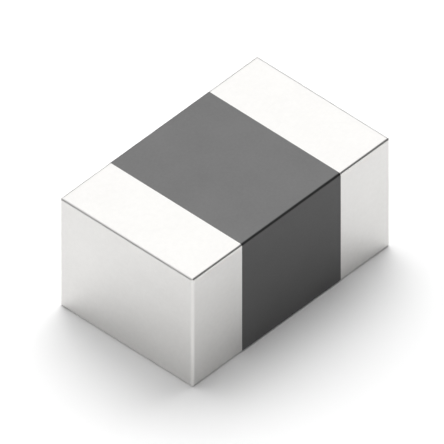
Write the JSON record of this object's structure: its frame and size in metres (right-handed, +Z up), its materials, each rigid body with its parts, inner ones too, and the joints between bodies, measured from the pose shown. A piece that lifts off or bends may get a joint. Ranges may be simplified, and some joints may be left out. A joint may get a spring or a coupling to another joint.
{
  "type": "smd chip inductor",
  "caption": "Rectangular surface-mount inductor: a grey fired ferrite block with flush tin-plated end terminals, joined inside by a printed silver coil.",
  "frame": {"origin": "middle of the chip's underside, on the plane that it is soldered to", "axes": "+X along the chip from the left terminal to the right one, +Y across it, +Z up from the board"},
  "size_m": [0.002, 0.0012, 0.001],
  "materials": {
    "ferrite": "matt, as fired",
    "printed_silver": "matt, fired paste",
    "base_silver": "matt, fired paste",
    "nickel": "satin, plated",
    "tin": "satin, matt tin plate"
  },
  "bodies": {
    "root": {"ferrite_body": "ferrite", "coil_layer_1": "printed_silver", "coil_layer_2": "printed_silver", "coil_layer_3": "printed_silver", "coil_layer_4": "printed_silver", "coil_layer_5": "printed_silver", "coil_layer_6": "printed_silver", "coil_layer_7": "printed_silver", "coil_layer_8": "printed_silver", "coil_layer_9": "printed_silver", "coil_layer_10": "printed_silver", "coil_layer_11": "printed_silver", "via_1": "printed_silver", "via_2": "printed_silver", "via_3": "printed_silver", "via_4": "printed_silver", "via_5": "printed_silver", "via_6": "printed_silver", "via_7": "printed_silver", "via_8": "printed_silver", "via_9": "printed_silver", "via_10": "printed_silver", "base_electrode_left": "base_silver", "base_electrode_right": "base_silver", "nickel_barrier_left": "nickel", "nickel_barrier_right": "nickel", "tin_finish_left": "tin", "tin_finish_right": "tin"}
  },
  "joints": []
}
